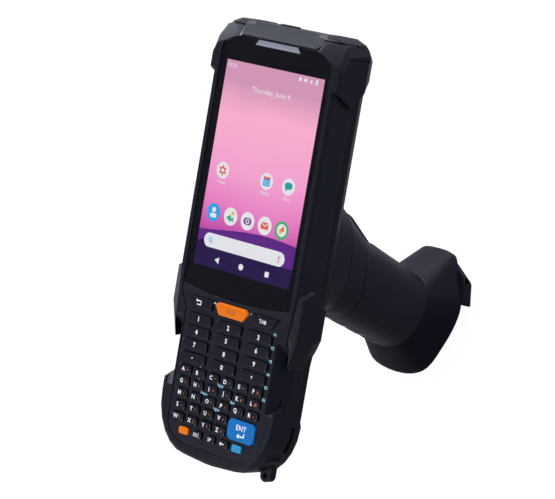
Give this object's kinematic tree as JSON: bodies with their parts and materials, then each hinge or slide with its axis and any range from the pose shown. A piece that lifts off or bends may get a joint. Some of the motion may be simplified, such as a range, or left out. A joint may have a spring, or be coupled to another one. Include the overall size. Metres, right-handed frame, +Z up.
{
  "type": "portable barcode data terminal",
  "caption": "Handheld barcode data terminal with a touch screen and a full keypad, clipped on a pistol grip with a trigger and a flat foot.",
  "frame": {"origin": "centre of the foot's rubber sole, on the grip's axis", "axes": "+Z up along the grip's axis, +Y towards the scan end and the trigger side, +X to the right as the keypad is read"},
  "size_m": [0.0736, 0.1854, 0.1613],
  "materials": {
    "front_shell": "fine matt texture, charcoal with a slight blue tint",
    "rear_shell": "fine matt texture, charcoal",
    "soft_corner": "soft matt overmould, near black",
    "screen_glass": "clear cover glass with a black border printed behind it",
    "lit_panel": "lit display, pink to violet",
    "receiver_mesh": "fine light grey mesh",
    "keypad_shell": "satin charcoal, a little lighter than the housing",
    "keypad_rubber": "matt black silicone",
    "board": "green circuit board",
    "inner_black": "black moulding",
    "dark_key": "satin dark key caps with white legends",
    "orange_key": "satin orange",
    "blue_key": "satin blue",
    "light_blue_key": "satin light blue",
    "window_red": "dark red scan window",
    "lens": "gloss black lens ring",
    "black_button": "matt black",
    "connector": "bright nickel shell",
    "steel": "zinc plated steel",
    "grip_shell": "fine matt texture, charcoal with a slight blue tint",
    "trigger_plastic": "satin dark plastic",
    "sole_rubber": "matt black rubber"
  },
  "bodies": {
    "terminal_on_grip": {"front_housing": "front_shell", "rear_housing": "rear_shell", "corner_bumpers": "soft_corner", "side_wings": "soft_corner", "bottom_bumper": "soft_corner", "touch_glass": "screen_glass", "display_panel": "lit_panel", "receiver_grille": "receiver_mesh", "keypad_plate": "keypad_shell", "keypad_mat": "keypad_rubber", "main_board": "board", "battery_pack": "inner_black", "battery_door": "rear_shell", "scan_engine": "inner_black", "scan_window": "window_red", "rear_camera": "lens", "loudspeaker": "inner_black", "usb_port": "connector", "housing_screws": "steel", "strap_lug": "black_button", "grip_cradle": "grip_shell", "grip_shell_left": "grip_shell", "grip_shell_right": "grip_shell", "trigger_pin": "steel", "trigger_spring": "steel", "trigger_switch": "inner_black", "grip_foot": "grip_shell", "foot_sole": "sole_rubber", "grip_screws": "steel"},
    "key_1_body": {"key_1": "dark_key"},
    "key_2_body": {"key_2": "dark_key"},
    "key_3_body": {"key_3": "dark_key"},
    "key_4_body": {"key_4": "dark_key"},
    "key_5_body": {"key_5": "dark_key"},
    "key_6_body": {"key_6": "dark_key"},
    "key_7_body": {"key_7": "dark_key"},
    "key_8_body": {"key_8": "dark_key"},
    "key_9_body": {"key_9": "dark_key"},
    "key_dot_body": {"key_dot": "dark_key"},
    "key_0_body": {"key_0": "dark_key"},
    "key_comma_body": {"key_comma": "dark_key"},
    "key_back_body": {"key_back": "dark_key"},
    "key_scan_body": {"key_scan": "orange_key"},
    "key_tab_body": {"key_tab": "dark_key"},
    "key_enter_body": {"key_enter": "blue_key"},
    "key_orange_body": {"key_orange": "orange_key"},
    "key_escape_body": {"key_escape": "dark_key"},
    "key_space_body": {"key_space": "dark_key"},
    "key_backspace_body": {"key_backspace": "dark_key"},
    "key_blue_body": {"key_blue": "light_blue_key"},
    "keys_a_to_f_body": {"keys_a_to_f": "dark_key"},
    "keys_g_to_l_body": {"keys_g_to_l": "dark_key"},
    "keys_m_to_r_body": {"keys_m_to_r": "dark_key"},
    "keys_s_to_v_body": {"keys_s_to_v": "dark_key"},
    "keys_w_to_z_body": {"keys_w_to_z": "dark_key"},
    "power_button_body": {"power_button": "black_button"},
    "side_key_body": {"side_key": "black_button"},
    "battery_latch_body": {"battery_latch": "orange_key"},
    "cradle_latch_body": {"cradle_latch": "black_button"},
    "trigger_body": {"trigger": "trigger_plastic"}
  },
  "joints": [
    {"name": "key_1_press", "type": "slide", "parent": "terminal_on_grip", "child": "key_1_body", "axis": [0, 0.309, -0.9511], "range_m": [0, 0.0007], "stiffness_N_per_m": 400},
    {"name": "key_2_press", "type": "slide", "parent": "terminal_on_grip", "child": "key_2_body", "axis": [0, 0.309, -0.9511], "range_m": [0, 0.0007], "stiffness_N_per_m": 400},
    {"name": "key_3_press", "type": "slide", "parent": "terminal_on_grip", "child": "key_3_body", "axis": [0, 0.309, -0.9511], "range_m": [0, 0.0007], "stiffness_N_per_m": 400},
    {"name": "key_4_press", "type": "slide", "parent": "terminal_on_grip", "child": "key_4_body", "axis": [0, 0.309, -0.9511], "range_m": [0, 0.0007], "stiffness_N_per_m": 400},
    {"name": "key_5_press", "type": "slide", "parent": "terminal_on_grip", "child": "key_5_body", "axis": [0, 0.309, -0.9511], "range_m": [0, 0.0007], "stiffness_N_per_m": 400},
    {"name": "key_6_press", "type": "slide", "parent": "terminal_on_grip", "child": "key_6_body", "axis": [0, 0.309, -0.9511], "range_m": [0, 0.0007], "stiffness_N_per_m": 400},
    {"name": "key_7_press", "type": "slide", "parent": "terminal_on_grip", "child": "key_7_body", "axis": [0, 0.309, -0.9511], "range_m": [0, 0.0007], "stiffness_N_per_m": 400},
    {"name": "key_8_press", "type": "slide", "parent": "terminal_on_grip", "child": "key_8_body", "axis": [0, 0.309, -0.9511], "range_m": [0, 0.0007], "stiffness_N_per_m": 400},
    {"name": "key_9_press", "type": "slide", "parent": "terminal_on_grip", "child": "key_9_body", "axis": [0, 0.309, -0.9511], "range_m": [0, 0.0007], "stiffness_N_per_m": 400},
    {"name": "key_dot_press", "type": "slide", "parent": "terminal_on_grip", "child": "key_dot_body", "axis": [0, 0.309, -0.9511], "range_m": [0, 0.0007], "stiffness_N_per_m": 400},
    {"name": "key_0_press", "type": "slide", "parent": "terminal_on_grip", "child": "key_0_body", "axis": [0, 0.309, -0.9511], "range_m": [0, 0.0007], "stiffness_N_per_m": 400},
    {"name": "key_comma_press", "type": "slide", "parent": "terminal_on_grip", "child": "key_comma_body", "axis": [0, 0.309, -0.9511], "range_m": [0, 0.0007], "stiffness_N_per_m": 400},
    {"name": "key_back_press", "type": "slide", "parent": "terminal_on_grip", "child": "key_back_body", "axis": [0, 0.309, -0.9511], "range_m": [0, 0.0007], "stiffness_N_per_m": 400},
    {"name": "key_scan_press", "type": "slide", "parent": "terminal_on_grip", "child": "key_scan_body", "axis": [0, 0.309, -0.9511], "range_m": [0, 0.0007], "stiffness_N_per_m": 400},
    {"name": "key_tab_press", "type": "slide", "parent": "terminal_on_grip", "child": "key_tab_body", "axis": [0, 0.309, -0.9511], "range_m": [0, 0.0007], "stiffness_N_per_m": 400},
    {"name": "key_enter_press", "type": "slide", "parent": "terminal_on_grip", "child": "key_enter_body", "axis": [0, 0.309, -0.9511], "range_m": [0, 0.0007], "stiffness_N_per_m": 400},
    {"name": "key_orange_press", "type": "slide", "parent": "terminal_on_grip", "child": "key_orange_body", "axis": [0, 0.309, -0.9511], "range_m": [0, 0.0007], "stiffness_N_per_m": 400},
    {"name": "key_escape_press", "type": "slide", "parent": "terminal_on_grip", "child": "key_escape_body", "axis": [0, 0.309, -0.9511], "range_m": [0, 0.0007], "stiffness_N_per_m": 400},
    {"name": "key_space_press", "type": "slide", "parent": "terminal_on_grip", "child": "key_space_body", "axis": [0, 0.309, -0.9511], "range_m": [0, 0.0007], "stiffness_N_per_m": 400},
    {"name": "key_backspace_press", "type": "slide", "parent": "terminal_on_grip", "child": "key_backspace_body", "axis": [0, 0.309, -0.9511], "range_m": [0, 0.0007], "stiffness_N_per_m": 400},
    {"name": "key_blue_press", "type": "slide", "parent": "terminal_on_grip", "child": "key_blue_body", "axis": [0, 0.309, -0.9511], "range_m": [0, 0.0007], "stiffness_N_per_m": 400},
    {"name": "keys_a_to_f_press", "type": "slide", "parent": "terminal_on_grip", "child": "keys_a_to_f_body", "axis": [0, 0.309, -0.9511], "range_m": [0, 0.0007], "stiffness_N_per_m": 400},
    {"name": "keys_g_to_l_press", "type": "slide", "parent": "terminal_on_grip", "child": "keys_g_to_l_body", "axis": [0, 0.309, -0.9511], "range_m": [0, 0.0007], "stiffness_N_per_m": 400},
    {"name": "keys_m_to_r_press", "type": "slide", "parent": "terminal_on_grip", "child": "keys_m_to_r_body", "axis": [0, 0.309, -0.9511], "range_m": [0, 0.0007], "stiffness_N_per_m": 400},
    {"name": "keys_s_to_v_press", "type": "slide", "parent": "terminal_on_grip", "child": "keys_s_to_v_body", "axis": [0, 0.309, -0.9511], "range_m": [0, 0.0007], "stiffness_N_per_m": 400},
    {"name": "keys_w_to_z_press", "type": "slide", "parent": "terminal_on_grip", "child": "keys_w_to_z_body", "axis": [0, 0.309, -0.9511], "range_m": [0, 0.0007], "stiffness_N_per_m": 400},
    {"name": "power_press", "type": "slide", "parent": "terminal_on_grip", "child": "power_button_body", "axis": [0, -0.9511, -0.309], "range_m": [0, 0.0006], "stiffness_N_per_m": 500},
    {"name": "side_key_press", "type": "slide", "parent": "terminal_on_grip", "child": "side_key_body", "axis": [1, 0, 0], "range_m": [0, 0.0006], "stiffness_N_per_m": 500},
    {"name": "battery_latch_slide", "type": "slide", "parent": "terminal_on_grip", "child": "battery_latch_body", "axis": [0, -0.9511, -0.309], "range_m": [0, 0.003], "stiffness_N_per_m": 300},
    {"name": "cradle_latch_slide", "type": "slide", "parent": "terminal_on_grip", "child": "cradle_latch_body", "axis": [0, -0.9511, -0.309], "range_m": [0, 0.002], "stiffness_N_per_m": 600},
    {"name": "trigger_pull", "type": "hinge", "parent": "terminal_on_grip", "child": "trigger_body", "pos_m": [0, 0.009, 0.079], "axis": [-1, 0, 0], "range_deg": [0, 7], "stiffness_Nm_per_rad": 0.4, "deforming": ["trigger_spring"]}
  ]
}
